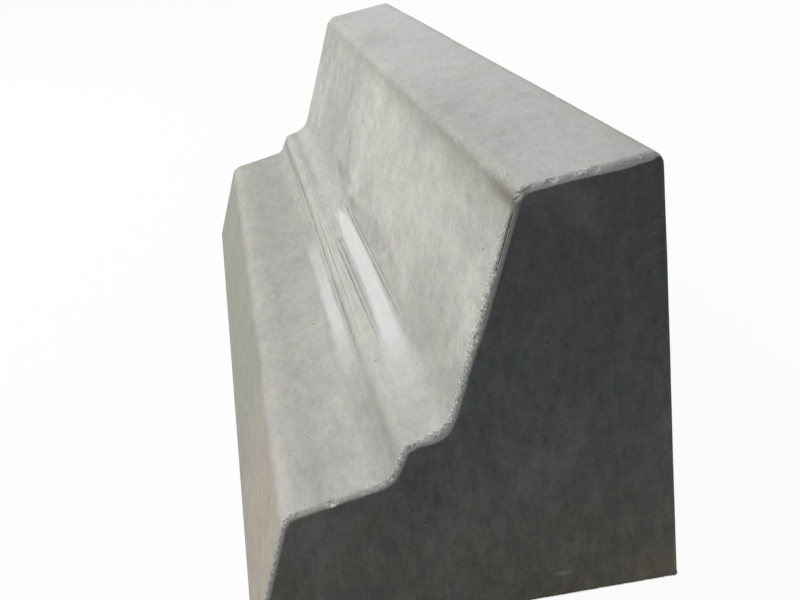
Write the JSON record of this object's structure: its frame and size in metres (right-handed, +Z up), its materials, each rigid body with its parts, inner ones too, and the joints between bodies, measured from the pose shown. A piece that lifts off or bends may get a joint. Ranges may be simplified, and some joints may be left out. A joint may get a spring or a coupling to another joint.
{
  "type": "concrete kerb stone",
  "caption": "Tall precast concrete kerb unit with a sloping top, a leaning upper face, a small ledge and a low stepped tread in front.",
  "frame": {"origin": "middle of the base, on the surface the stone stands on", "axes": "+X along the length, +Y towards the upright back, away from the road, +Z up"},
  "size_m": [1, 0.365, 0.3785],
  "materials": {
    "concrete": "cast concrete, matt, smooth off the mould with fine pores"
  },
  "bodies": {
    "root": {"kerb_stone": "concrete"}
  },
  "joints": []
}
